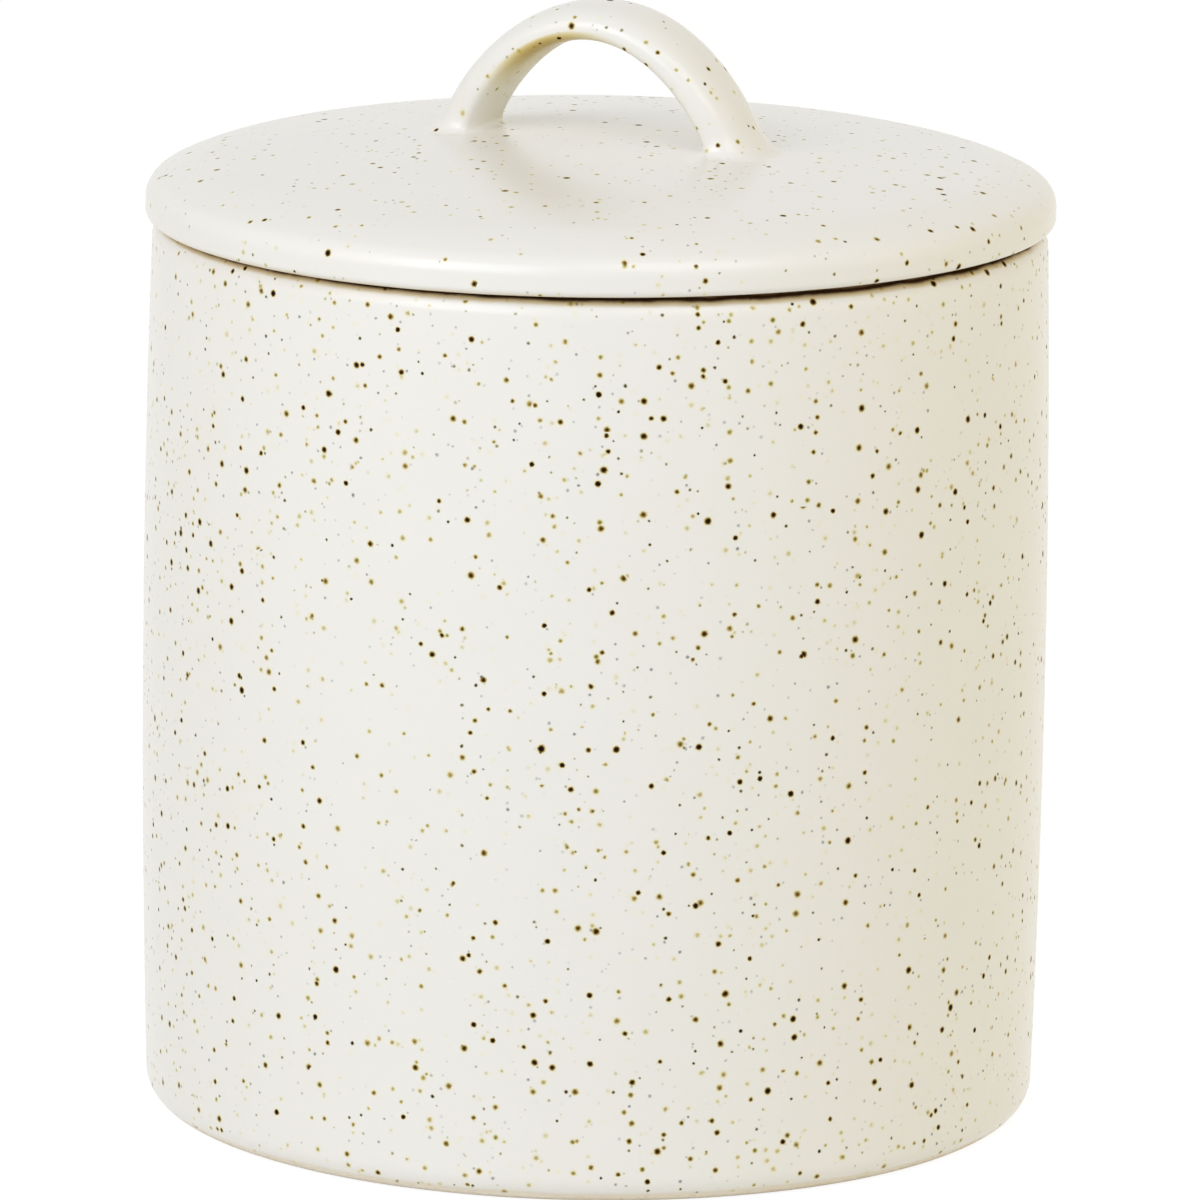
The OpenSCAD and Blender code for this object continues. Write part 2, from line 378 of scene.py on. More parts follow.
def turned_form(name):
    """Turns a section round the Z axis, uneven by a share of its radius and warped up on one side."""
    tree, wire, given, made = new_group(
        name,
        "GeometryNodeTree",
        {
            "Section": "Geometry",
            "Segments": "Int",
            "Wobble": "Float",
            "Seed": "Float",
            "Lift": "Float",
            "Lift Direction": "Float",
            "Lift From": "Float",
            "Lift To": "Float",
            "Material": "Material",
        },
        {"Turned Form": "Geometry"},
    )
    size_of = wire.node("GeometryNodeAttributeDomainSize", {"Geometry": given["Section"]}, component="MESH")
    points = size_of.outputs["Point Count"]
    columns = wire.math("ADD", given["Segments"], 1.0)
    sheet = wire.node("GeometryNodeMeshGrid", {"Vertices X": columns, "Vertices Y": points}).outputs["Mesh"]

    # The sheet's points are numbered column by column, and each column is the section once
    index = wire.node("GeometryNodeInputIndex").outputs[0]
    column = wire.math("FLOOR", wire.math("DIVIDE", wire.math("ADD", index, 0.5), points))
    turn = wire.math("MULTIPLY", wire.math("DIVIDE", column, given["Segments"]), 2 * math.pi)
    station = wire.math("SUBTRACT", index, wire.math("MULTIPLY", column, points))
    position = wire.node("GeometryNodeInputPosition").outputs[0]
    sample = {"Geometry": given["Section"], "Value": position, "Index": station}
    point = wire.node("GeometryNodeSampleIndex", sample, data_type="FLOAT_VECTOR").outputs[0]
    section = wire.node("ShaderNodeSeparateXYZ", {0: point}).outputs
    across, along = wire.math("COSINE", turn), wire.math("SINE", turn)

    def placed(radius, height):
        """The point at this radius and height, turned to its column."""
        x, y = wire.math("MULTIPLY", radius, across), wire.math("MULTIPLY", radius, along)
        return wire.node("ShaderNodeCombineXYZ", {0: x, 1: y, 2: height}).outputs[0]

    true_place = placed(section["X"], section["Z"])
    cloud = {"Vector": true_place, "W": given["Seed"], "Scale": WOBBLE_SCALE, "Detail": 1.0}
    uneven = wire.node("ShaderNodeTexNoise", cloud, noise_dimensions="4D").outputs[0]
    swing = wire.math("MULTIPLY", given["Wobble"], 2.0)
    share = wire.math("MULTIPLY", wire.math("SUBTRACT", uneven, 0.5), swing)
    radius = wire.math("MULTIPLY", section["X"], wire.math("ADD", share, 1.0))
    facing = wire.math("COSINE", wire.math("SUBTRACT", turn, given["Lift Direction"]))
    warped = wire.math("POWER", wire.math("MAXIMUM", facing, 0.0), WARP_FALL)
    reach = wire.ease(section["X"], given["Lift From"], given["Lift To"])
    lift = wire.math("MULTIPLY", wire.math("MULTIPLY", warped, reach), given["Lift"])
    place = placed(radius, wire.math("ADD", section["Z"], lift))

    turned = wire.node("GeometryNodeSetPosition", {"Geometry": sheet, "Position": place}).outputs[0]
    seam = {"Geometry": turned, "Distance": MERGE_DISTANCE}
    closed = wire.node("GeometryNodeMergeByDistance", seam).outputs[0]
    smooth = wire.node("GeometryNodeSetShadeSmooth", {"Geometry": closed}).outputs[0]
    real = wire.node("GeometryNodeRealizeInstances", {"Geometry": smooth}).outputs[0]
    surface = {"Geometry": real, "Material": given["Material"]}
    wire.feed(made["Turned Form"], wire.node("GeometryNodeSetMaterial", surface).outputs[0])
    return tree


def turned_piece(name, section, material, segments, wobble, seed, lift=0.0, lift_direction=0.0):
    """A closed turned piece made from its section by the turned_form nodes."""
    outline = bpy.data.meshes.new(f"{name}_section")
    edges = [(i, i + 1) for i in range(len(section) - 1)]
    outline.from_pydata([(x, 0.0, z) for x, z in section], edges, [])
    piece = bpy.data.objects.new(name, outline)
    bpy.context.scene.collection.objects.link(piece)
    nodes = piece.modifiers.new("turned_form", "NODES")
    nodes.node_group = kept_group(turned_form)
    values = {
        "Segments": segments,
        "Wobble": wobble,
        "Seed": seed,
        "Lift": lift,
        "Lift Direction": lift_direction,
        "Lift From": WARP_FROM,
        "Lift To": WARP_TO,
        "Material": material,
    }
    for item in nodes.node_group.interface.items_tree:
        if item.in_out == "INPUT" and item.name in values:
            nodes[item.identifier] = values[item.name]
    graph = bpy.context.evaluated_depsgraph_get()
    solid = bpy.data.meshes.new_from_object(piece.evaluated_get(graph), depsgraph=graph)
    solid.name = name
    piece.modifiers.clear()
    piece.data = solid
    bpy.data.meshes.remove(outline)
    closed_outwards(solid)
    return piece


def closed_outwards(mesh):
    """Points the faces of a closed mesh outwards, and stops if it isn't closed."""
    work = bmesh.new()
    work.from_mesh(mesh)
    bmesh.ops.recalc_face_normals(work, faces=work.faces)
    open_edges = sum(not edge.is_manifold for edge in work.edges)
    work.to_mesh(mesh)
    work.free()
    if open_edges:
        raise RuntimeError(f"{mesh.name} has {open_edges} open edges")
    mesh.set_sharp_from_angle(angle=SHARP_ANGLE)


def arc(centre, radius, start, end, steps=14):
    """Points on a round stretch of a section, between two angles."""
    turns = [start + (end - start) * i / steps for i in range(steps + 1)]
    return [(centre[0] + radius * math.cos(t), centre[1] + radius * math.sin(t)) for t in turns]


def joined(*stretches):
    """The stretches of a section as one line, without doubled points."""
    points = []
    for stretch in stretches:
        for x, z in stretch:
            if not points or math.dist(points[-1], (x, z)) > SAME_POINT:
                points.append((max(x, 0.0), z))
    return points


def jar_section(jar):
    """From the middle of the underside, up the outside, over the rim and down to the floor."""
    foot, rim = jar.foot_diameter / 2, jar.rim_diameter / 2

    def wall(z):
        """Outer radius at a height: a straight side and a swell that is fullest half way up."""
        rise = z / jar.height
        return foot + (rim - foot) * rise + 4 * jar.belly * rise * (1 - rise)

    def side(z_from, z_to, inset, steps=40):
        """Points of the wall between two heights, set in from its outside."""
        heights = [z_from + (z_to - z_from) * i / steps for i in range(steps + 1)]
        return [(wall(z) - inset, z) for z in heights]

    heel = (wall(jar.heel) - jar.heel, jar.heel)
    ring_in = heel[0] - jar.foot_width
    rim_z, lip_z = jar.height - jar.rim_outside, jar.height - jar.rim_inside
    lip = (wall(lip_z) - jar.wall + jar.rim_inside, lip_z)
    floor_z = jar.foot_recess + jar.floor
    hollow_z = floor_z + jar.floor_hollow
    hollow = (wall(hollow_z) - jar.wall - jar.floor_hollow, hollow_z)
    return joined(
        [(0.0, jar.foot_recess), (ring_in - jar.foot_recess, jar.foot_recess), (ring_in, 0.0)],
        arc(heel, jar.heel, -QUARTER, 0.0),
        side(jar.heel, rim_z, 0.0),
        arc((wall(rim_z) - jar.rim_outside, rim_z), jar.rim_outside, 0.0, QUARTER),
        arc(lip, jar.rim_inside, QUARTER, 2 * QUARTER, steps=8),
        side(lip_z, hollow_z, jar.wall),
        arc(hollow, jar.floor_hollow, 0.0, -QUARTER),
        [(0.0, floor_z)],
    )


class LidForm:
    """The lid's section: three arcs, each tangent to the next, over a hollow of even thickness."""

    def __init__(self, lid, seat):
        self.lid, self.seat = lid, seat
        self.edge = (lid.radius - lid.edge_over, seat + lid.edge_height)
        inward = lid.shoulder - lid.edge_over
        self.shoulder = (
            self.edge[0] - inward * math.sin(lid.edge_slope),
            self.edge[1] - inward * math.cos(lid.edge_slope),
        )
        self.dome_radius = lid.shoulder + self.shoulder[0] / math.sin(lid.dome_slope)
        self.dome = (0.0, self.shoulder[1] - (self.dome_radius - lid.shoulder) * math.cos(lid.dome_slope))

    def dome_z(self, x, y):
        """Height of the dome's top over a point of the table."""
        return self.dome[1] + math.sqrt(self.dome_radius**2 - x * x - y * y)

    def section(self, hollow_radius):
        """From the middle of the hollow, out to the seat, round the edge and up to the crest."""
        lid = self.lid
        under = self.dome_radius - lid.thickness
        reach = math.asin(hollow_radius / under)
        lower = (lid.radius - lid.edge_under, self.seat - lid.lip_drop + lid.edge_under)
        return joined(
            arc(self.dome, under, QUARTER, QUARTER - reach, steps=24),
            [(hollow_radius, self.seat), (lid.radius - lid.lip_width, self.seat)],
            arc(lower, lid.edge_under, -QUARTER, 0.0),
            arc(self.edge, lid.edge_over, 0.0, QUARTER - lid.edge_slope),
            arc(self.shoulder, lid.shoulder, QUARTER - lid.edge_slope, QUARTER - lid.dome_slope, steps=20),
            arc(self.dome, self.dome_radius, QUARTER - lid.dome_slope, QUARTER, steps=36),
        )


def ring_section(ring, seat):
    """Down the inside of the ring, round its lower edges and up the outside."""
    inner, low = ring.outer_radius - ring.thickness, seat - ring.depth + ring.edge
    return joined(
        [(inner, seat)],
        arc((inner + ring.edge, low), ring.edge, 2 * QUARTER, 3 * QUARTER, steps=10),
        arc((ring.outer_radius - ring.edge, low), ring.edge, 3 * QUARTER, 4 * QUARTER, steps=10),
        [(ring.outer_radius, seat), (inner, seat)],
    )


class StrapForm:
    """One leg of the strap as rows of points, from the crown to a fillet that runs out on the dome."""

    sides = 56
    leg_steps = 56
    fillet_steps = 12
    halvings = 40
    fillet_squash = 0.8
    fillet_sink = 0.015 * MM
    hub_sink = 0.1 * MM

    def __init__(self, strap, lid_form):
        self.strap, self.dome_z = strap, lid_form.dome_z
        self.half, crown = strap.span / 2, strap.top - strap.crown_thickness / 2
        self.foot = self.dome_z(self.half, 0.0)
        self.line = [
            (0.0, crown),
            (strap.crown_reach, crown),
            (self.half, self.foot + strap.leg_reach),
            (self.half, self.foot),
        ]

    def turn(self, j):
        """Angle round the strap of one of its sides, from the back edge over the outside."""
        return 2 * math.pi * j / self.sides

    def middle(self, t):
        """Place and direction of the middle line, from the crown at 0 to the foot at 1."""
        u = 1 - t
        shares = (u**3, 3 * t * u * u, 3 * t * t * u, t**3)
        slopes = (-u * u, u * u - 2 * t * u, 2 * t * u - t * t, t * t)
        x, z = (sum(s * p[i] for s, p in zip(shares, self.line)) for i in (0, 1))
        along = Vector([sum(s * p[i] for s, p in zip(slopes, self.line)) for i in (0, 1)])
        return x, z, along.normalized()

    def row(self, t):
        """The points round the strap, from the crown at 0 to the foot at 1."""
        strap = self.strap
        x, z, along = self.middle(t)
        half_width = (strap.crown_width + (strap.foot_width - strap.crown_width) * t * t) / 2
        thick = strap.crown_thickness + (strap.foot_thickness - strap.crown_thickness) * t * t
        ring = []
        for j in range(self.sides):
            turn = self.turn(j)
            outside = 2 * j < self.sides
            power = 2 / (strap.outer_section if outside else strap.inner_section)
            out, wide = (math.copysign(abs(v) ** power, v) for v in (math.sin(turn), math.cos(turn)))
            out = thick * (0.5 - strap.dome + out * (strap.dome if outside else 1 - strap.dome))
            ring.append(Vector((x - along.y * out, half_width * wide, z + along.x * out)))
        return ring

    def cut(self):
        """Where the middle line comes down to the height of the fillet."""
        low, high = 0.0, 1.0
        for _ in range(self.halvings):
            between = (low + high) / 2
            if self.middle(between)[1] - self.foot > self.strap.fillet_height:
                low = between
            else:
                high = between
        return low

    def run_out(self, start, before, t):
        """A point on its way from the cut at 0, down the leg and out on to the dome at 1."""
        fall = (start - before).normalized()
        corner = start + fall * ((start.z - self.foot) / -fall.z)
        corner.z = self.dome_z(corner.x, corner.y)
        away = Vector((corner.x - self.half, corner.y * self.fillet_squash, 0.0)).normalized()
        end = corner + away * self.strap.fillet_spread
        end.z = self.dome_z(end.x, end.y) - self.fillet_sink
        return start * (1 - t) ** 2 + corner * 2 * t * (1 - t) + end * t * t

    def leg(self):
        """The rows of one leg and its fillet."""
        cut = self.cut()
        rows = [self.row(cut * i / self.leg_steps) for i in range(self.leg_steps + 1)]
        last, before = rows[-1], rows[-2]
        for i in range(1, self.fillet_steps + 1):
            share = i / self.fillet_steps
            rows.append([self.run_out(start, above, share) for start, above in zip(last, before)])
        return rows


# Painted warm light inside the strap's left bend, a warm tint standing in for warm light on that face:
# the attribute that holds it, its most layers, its middle and spread in rows from the crown, and how it
# fades to the strap's edges
PAINTED_WARM_LIGHT = "warmth"
PAINTED_WARM_LAYERS = 3.0
PAINTED_WARM_MIDDLE = -16
PAINTED_WARM_SPREAD = 16
PAINTED_WARM_FADE = 0.35


def warm_layers(row, turn):
    """Layers of painted warm light at a row and an angle round the strap, more towards the front edge."""
    along = math.exp(-(((row - PAINTED_WARM_MIDDLE) / PAINTED_WARM_SPREAD) ** 2))
    forward = (1 - math.cos(turn)) / 2
    inside = max(0.0, -math.sin(turn)) ** PAINTED_WARM_FADE
    return PAINTED_WARM_LAYERS * along * forward * inside


def strap_mesh(name, strap, lid_form):
    """The closed strap from foot to foot, with the layers of painted warm light at each point."""
    form = StrapForm(strap, lid_form)
    leg = form.leg()
    other = [[Vector((-p.x, p.y, p.z)) for p in ring] for ring in leg[:0:-1]]
    work = bmesh.new()
    warmth = work.verts.layers.float.new(PAINTED_WARM_LIGHT)
    rows = [[work.verts.new(p) for p in ring] for ring in other + leg]
    for i, ring in enumerate(rows, -len(other)):
        for j, vertex in enumerate(ring):
            vertex[warmth] = warm_layers(i, form.turn(j))
    for first, second in zip(rows, rows[1:]):
        for j in range(form.sides):
            k = (j + 1) % form.sides
            work.faces.new((first[j], first[k], second[k], second[j]))
    for ring in (rows[0], rows[-1]):
        middle = sum((v.co for v in ring), Vector()) / form.sides
        hub = work.verts.new((middle.x, middle.y, form.dome_z(middle.x, middle.y) - form.hub_sink))
        for j in range(form.sides):
            work.faces.new((ring[j], ring[(j + 1) % form.sides], hub))
    mesh = bpy.data.meshes.new(name)
    work.to_mesh(mesh)
    work.free()
    mesh.shade_smooth()
    closed_outwards(mesh)
    return mesh


# Specks: how they lean towards small and faint, and where core and halo end as shares of their radius
SMALL_BIAS = 2.0
FAINT_BIAS = 1.5
CORE_EDGE = 0.65
CORE_FALL = 2.0
HALO_EDGE = 0.9


def speck_layer(name):
    """Round specks of one kind, each a core and a wide faint halo with a strength of its own."""
    sizes = ("Cell", "Least", "Most", "Share", "Faintest", "Strongest", "Glow")
    tree, wire, given, made = new_group(
        name,
        "ShaderNodeTree",
        {"Vector": "Vector", "Shift": "Vector", **{label: "Float" for label in sizes}},
        {"Core": "Float", "Halo": "Float"},
    )

    def between(chance, low, high):
        """A number between two others."""
        span = wire.math("SUBTRACT", given[high], given[low])
        return wire.math("ADD", wire.math("MULTIPLY", chance, span), given[low])

    place = wire.vector("ADD", given["Vector"], given["Shift"])
    cells = {"Vector": place, "Scale": wire.math("DIVIDE", 1.0, given["Cell"])}
    cell = wire.node("ShaderNodeTexVoronoi", cells).outputs
    chance = wire.node("ShaderNodeSeparateColor", {0: cell["Color"]}).outputs
    radius = between(wire.math("POWER", chance["Red"], SMALL_BIAS), "Least", "Most")
    away = wire.math("DIVIDE", wire.math("MULTIPLY", cell["Distance"], given["Cell"]), radius)
    held = wire.math("LESS_THAN", chance["Green"], given["Share"])
    rarely = wire.math("POWER", chance["Blue"], FAINT_BIAS)
    strength = wire.math("MULTIPLY", held, between(rarely, "Faintest", "Strongest"))
    core = wire.math("POWER", wire.ease(away, CORE_EDGE, 0.0), CORE_FALL)
    wire.feed(made["Core"], wire.math("MULTIPLY", core, strength))
    glow = wire.math("MULTIPLY", wire.math("MINIMUM", strength, 1.0), given["Glow"])
    wire.feed(made["Halo"], wire.math("MULTIPLY", wire.ease(away, HALO_EDGE, 0.0), glow))
    return tree


# Glaze: noise in patches per metre and the levels it steps between, and the layers that burn through
RAGGED_SCALE = 2600.0
RAGGED_REACH = 0.22 * MM
DRIFT_SCALE = 40.0
DRIFT_BAND = (0.3, 0.7)
DRIFT_CROWD = (0.75, 1.25)
CLOUD_SCALE = 90.0
CLOUD_BAND = (0.35, 0.75)
BURN_BAND = (0.5, 2.5)
KIND_SHIFT = (0.173, 0.121, 0.225)


def speckled_glaze(name):
    """Cream glaze with mineral, ochre, black and iron specks: its colour and where they burnt through."""
    tree, wire, given, made = new_group(
        name,
        "ShaderNodeTree",
        {"Vector": "Vector", "Speckle": "Float", **{tint: "Color" for tint in TINTS}},
        {"Color": "Color", "Burnt": "Float"},
    )
    ragged = wire.noise(given["Vector"], RAGGED_SCALE).outputs["Color"]
    centred = wire.vector("SUBTRACT", ragged, (0.5, 0.5, 0.5))
    reach = {0: centred, "Scale": RAGGED_REACH}
    shove = wire.node("ShaderNodeVectorMath", reach, operation="SCALE").outputs[0]
    place = wire.vector("ADD", given["Vector"], shove)
    drift = wire.noise(given["Vector"], DRIFT_SCALE).outputs[0]
    crowd = wire.math("MULTIPLY", wire.ease(drift, *DRIFT_BAND, *DRIFT_CROWD), given["Speckle"])

    clouds = wire.noise(given["Vector"], CLOUD_SCALE, detail=3.0).outputs[0]
    tone = wire.mix(wire.ease(clouds, *CLOUD_BAND), given["Cream"], given["Cloud"])
    burnt = 0.0
    for order, speck in enumerate(SPECKS):
        values = {
            "Vector": place,
            "Shift": tuple(step * order for step in KIND_SHIFT),
            "Cell": speck.cell * MM,
            "Least": speck.least * MM,
            "Most": speck.most * MM,
            "Share": wire.math("MULTIPLY", crowd, speck.share),
            "Faintest": speck.faintest,
            "Strongest": speck.strongest,
            "Glow": speck.halo,
        }
        layer = wire.group(kept_group(speck_layer), values)
        tone = wire.stain(tone, given["Halo"], layer["Halo"])
        tone = wire.stain(tone, given[speck.tint], layer["Core"])
        burnt = wire.math("MAXIMUM", wire.ease(layer["Core"], *BURN_BAND), burnt)
    wire.feed(made["Color"], tone)
    wire.feed(made["Burnt"], burnt)
    return tree


# Bare clay: noise in patches per metre, the levels it steps between and how much grog it shows
GRIT_SCALE = 1400.0
GRIT_BAND = (0.45, 0.75)
GRIT_SHARE = 0.7
WASH_SCALE = 120.0
WASH_BAND = (0.35, 0.75)
WASH_SHARE = 0.3


def bare_clay(name):
    """Fired stoneware without glaze: its colour and its grain."""
    tree, wire, given, made = new_group(
        name,
        "ShaderNodeTree",
        {"Vector": "Vector", "Clay": "Color", "Grog": "Color"},
        {"Color": "Color", "Grain": "Float"},
    )
    grit = wire.noise(given["Vector"], GRIT_SCALE, detail=4.0).outputs[0]
    wash = wire.noise(given["Vector"], WASH_SCALE, detail=3.0).outputs[0]
    coarse = wire.ease(grit, *GRIT_BAND, to_high=GRIT_SHARE)
    share = wire.math("ADD", coarse, wire.ease(wash, *WASH_BAND, to_high=WASH_SHARE))
    wire.feed(made["Color"], wire.mix(share, given["Clay"], given["Grog"]))
    wire.feed(made["Grain"], grit)
    return tree


# Wiped lines: waves per metre, how far they swing and how soft the line is
WAVE_SCALE = 160.0
WAVE_SWING = 0.6 * MM
LINE_EDGE = 0.2 * MM


def wiped_band(name):
    """Where glaze was wiped off on one side of a slightly wavy line, and where it lies thin beside it."""
    tree, wire, given, made = new_group(
        name,
        "ShaderNodeTree",
        {"Vector": "Vector", "Height": "Float", "Side": "Float", "Within": "Float", "Reach": "Float"},
        {"Bare": "Float", "Thin": "Float"},
    )
    wave = wire.noise(given["Vector"], WAVE_SCALE, detail=3.0).outputs[0]
    shift = wire.math("MULTIPLY", wire.math("SUBTRACT", wave, 0.5), WAVE_SWING)
    spot = wire.node("ShaderNodeSeparateXYZ", {0: given["Vector"]}).outputs
    height = wire.math("ADD", spot["Z"], shift)
    flat = wire.node("ShaderNodeCombineXYZ", {0: spot["X"], 1: spot["Y"]}).outputs[0]
    radius = wire.node("ShaderNodeVectorMath", {0: flat}, operation="LENGTH").outputs["Value"]
    beyond = wire.math("MULTIPLY", wire.math("SUBTRACT", height, given["Height"]), given["Side"])
    past = wire.math("MINIMUM", beyond, wire.math("SUBTRACT", given["Within"], radius))
    wire.feed(made["Bare"], wire.ease(past, -LINE_EDGE, LINE_EDGE))
    wire.feed(made["Thin"], wire.ease(past, wire.math("MULTIPLY", given["Reach"], -1.0), 0.0))
    return tree


def rgba(tint):
    """A colour property as a shader socket takes it."""
    return (*tint, 1.0)


def emptied(owner):
    """Clears the nodes of a new material or world, and returns their wiring."""
    owner.use_nodes = True
    owner.node_tree.nodes.clear()
    return Wiring(owner.node_tree)


def new_material(name):
    """A new material, its wiring, the inputs of its shader and its Object coordinates."""
    material = bpy.data.materials.new(name)
    wire = emptied(material)
    shader = wire.node("ShaderNodeBsdfPrincipled")
    wire.node("ShaderNodeOutputMaterial", {"Surface": shader.outputs[0]})
    return material, wire, shader.inputs, wire.node("ShaderNodeTexCoord").outputs["Object"]


# Surfaces: how matt the body under the glaze and the bare clay are, and how burnt specks and grain show
BODY_ROUGHNESS = 0.5
BARE_ROUGHNESS = 0.85
BURNT_DULL = 0.85
BURNT_PIT = 0.25
RIPPLE_SCALE = 210.0
BUMP_DEPTH = 0.2 * MM
GRAIN_BAND = (0.3, 0.7)
GRAIN_ROUGHNESS = (0.78, 0.92)
GRAIN_BUMP = 0.25


def glaze_material(name, glaze, speckle, wiped=(), warmth=""):
    """Speckled glaze, wiped off to clay on one side of each given line and tinted by an attribute of
    painted warm light.
    """
    material, wire, shader, place = new_material(name)
    shader["Specular IOR Level"].default_value = 0.0
    shader["Coat Roughness"].default_value = glaze.roughness
    tints = {tint: rgba(getattr(glaze, tint.lower())) for tint in TINTS}
    coat = wire.group(kept_group(speckled_glaze), {"Vector": place, "Speckle": speckle, **tints})
    tone, rough = coat["Color"], BODY_ROUGHNESS
    dull = wire.math("MULTIPLY", coat["Burnt"], BURNT_DULL)
    ripple = wire.noise(place, RIPPLE_SCALE).outputs[0]
    swell = wire.math("SUBTRACT", ripple, wire.math("MULTIPLY", coat["Burnt"], BURNT_PIT))
    if warmth:
        # Painted warm light on the strap, read from its attribute.
        density = wire.node("ShaderNodeAttribute", attribute_name=warmth).outputs["Fac"]
        tone = wire.stain(tone, rgba(glaze.warm), density)
    for wipe in wiped:
        edge = {
            "Vector": place,
            "Height": wipe.height,
            "Side": wipe.side,
            "Within": wipe.within,
            "Reach": glaze.thin_reach,
        }
        band = wire.group(kept_group(wiped_band), edge)
        earth = {"Vector": place, "Clay": rgba(wipe.clay), "Grog": rgba(wipe.grog)}
        body = wire.group(kept_group(bare_clay), earth)
        bare = band["Bare"]
        glazed = wire.stain(tone, rgba(glaze.thin), wire.math("MULTIPLY", band["Thin"], wipe.thin))
        tone = wire.mix(bare, glazed, body["Color"])
        dull = wire.math("MAXIMUM", dull, bare)
        rough = wire.math("MAXIMUM", rough, wire.math("MULTIPLY", bare, BARE_ROUGHNESS))
        swell = wire.math("ADD", swell, wire.math("MULTIPLY", body["Grain"], bare))
    wire.feed(shader["Base Color"], tone)
    wire.feed(shader["Coat Weight"], wire.math("SUBTRACT", 1.0, dull))
    wire.feed(shader["Roughness"], rough)
    bump = {"Height": swell, "Strength": glaze.ripple, "Distance": BUMP_DEPTH}
    wire.feed(shader["Normal"], wire.node("ShaderNodeBump", bump).outputs[0])
    return material


def clay_material(name, clay, grog):
    """Bare stoneware, matt and a little gritty."""
    material, wire, shader, place = new_material(name)
    body = wire.group(kept_group(bare_clay), {"Vector": place, "Clay": rgba(clay), "Grog": rgba(grog)})
    wire.feed(shader["Base Color"], body["Color"])
    wire.feed(shader["Roughness"], wire.ease(body["Grain"], *GRAIN_BAND, *GRAIN_ROUGHNESS))
    bump = {"Height": body["Grain"], "Strength": GRAIN_BUMP, "Distance": BUMP_DEPTH}
    wire.feed(shader["Normal"], wire.node("ShaderNodeBump", bump).outputs[0])
    return material


def set_on_frame(piece, body, node):
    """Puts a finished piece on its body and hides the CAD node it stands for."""
    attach(piece, body)
    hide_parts(node)


def lid_piece(name, section, material, lid):
    """A turned piece that is uneven and warped as the lid is."""
    return turned_piece(
        name, section, material, lid.segments, lid.wobble, LID_SEED, lid.lift, lid.lift_direction
    )


class STONEWARE_OT_jar_body(bpy.types.Operator):
    """Turn the jar: swelling wall, rounded rim, floor and foot ring"""

    bl_idname = "stoneware.jar_body"
    bl_label = "Turn Jar"

    def execute(self, context):
        kit = context.scene.stoneware_jar
        jar, clay = kit.jar, kit.clay
        wiped = (
            # Foot: pale clay, partly painted bounce light from the floor.
            Wipe(clay.foot_line, BELOW, clay.foot, clay.foot_grog, thin=0.3),
            # Under the rim: the dark bare band is painted shade for the gap under the lid's edge, and the
            # thin glaze below it, at full strength, is partly thin glaze and partly painted shade.
            Wipe(jar.height - clay.rim_line, ABOVE, clay.toast, clay.toast_grog, thin=1.0),
            Wipe(jar.height - clay.toast_line, ABOVE, clay.seat, clay.seat_grog),
        )
        glaze = glaze_material("jar_glaze", kit.glaze, kit.glaze.speckle, wiped)
        piece = turned_piece("turned_jar", jar_section(jar), glaze, jar.segments, jar.wobble, JAR_SEED)
        set_on_frame(piece, "jar", "jar_body")
        return {"FINISHED"}


class STONEWARE_OT_lid(bpy.types.Operator):
    """Turn the lid: rolled edge, shoulder, low dome and the hollow under it"""

    bl_idname = "stoneware.lid"
    bl_label = "Turn Lid"

    def execute(self, context):
        kit = context.scene.stoneware_jar
        lid, ring, clay, seat = kit.lid, kit.ring, kit.clay, kit.jar.height
        # The lid's bare lip and underside take the seat clay, partly painted shade along the lid's lower
        # edge.
        wiped = (
            Wipe(seat - lid.lip_drop + clay.lip_line, BELOW, clay.seat, clay.seat_grog, thin=0.35),
            Wipe(seat + lid.lift, BELOW, clay.seat, clay.seat_grog, within=lid.radius - clay.seat_width),
        )
        section = LidForm(lid, seat).section(ring.outer_radius - ring.thickness)
        glaze = glaze_material("lid_glaze", kit.glaze, kit.glaze.lid_speckle, wiped)
        piece = lid_piece("domed_lid", section, glaze, lid)
        set_on_frame(piece, "lid_body", "lid")
        return {"FINISHED"}


class STONEWARE_OT_locating_ring(bpy.types.Operator):
    """Turn the bare ring under the lid that drops into the mouth"""

    bl_idname = "stoneware.locating_ring"
    bl_label = "Turn Locating Ring"

    def execute(self, context):
        kit = context.scene.stoneware_jar
        section = ring_section(kit.ring, kit.jar.height)
        clay = clay_material("ring_clay", kit.clay.seat, kit.clay.seat_grog)
        piece = lid_piece("locating_ring", section, clay, kit.lid)
        set_on_frame(piece, "lid_body", "lid_flange")
        return {"FINISHED"}


class STONEWARE_OT_strap_handle(bpy.types.Operator):
    """Pull the strap handle and run its feet out on the lid"""

    bl_idname = "stoneware.strap_handle"
    bl_label = "Pull Strap Handle"

    def execute(self, context):
        kit = context.scene.stoneware_jar
        mesh = strap_mesh("pulled_strap", kit.strap, LidForm(kit.lid, kit.jar.height))
        glaze = glaze_material("strap_glaze", kit.glaze, kit.glaze.lid_speckle, warmth=PAINTED_WARM_LIGHT)
        mesh.materials.append(glaze)
        piece = bpy.data.objects.new("pulled_strap", mesh)
        context.scene.collection.objects.link(piece)
        set_on_frame(piece, "lid_body", "strap_handle")
        return {"FINISHED"}


def aimed(back, right):
    """A turn whose own +Z is back and whose own +X is right."""
    return Matrix((right, back.cross(right), back)).transposed().to_4x4()


def seen_from(azimuth, elevation):
    """Unit vectors from the jar to a viewer, and to that viewer's right."""
    flat = math.cos(elevation)
    back = Vector((math.sin(azimuth) * flat, -math.cos(azimuth) * flat, math.sin(elevation)))
    return back, Vector((math.cos(azimuth), math.sin(azimuth), 0.0))


class Lamp(NamedTuple):
    """A soft light at angles in degrees round from the camera and over the table, reflected or not."""

    name: str
    turn: float
    height: float
    reflected: bool = True


LAMPS = (
    Lamp("window", -35, 30),
    Lamp("key", -55, 30),
    Lamp("top", 25, 48),
    Lamp("side", 85, 12, reflected=False),
)
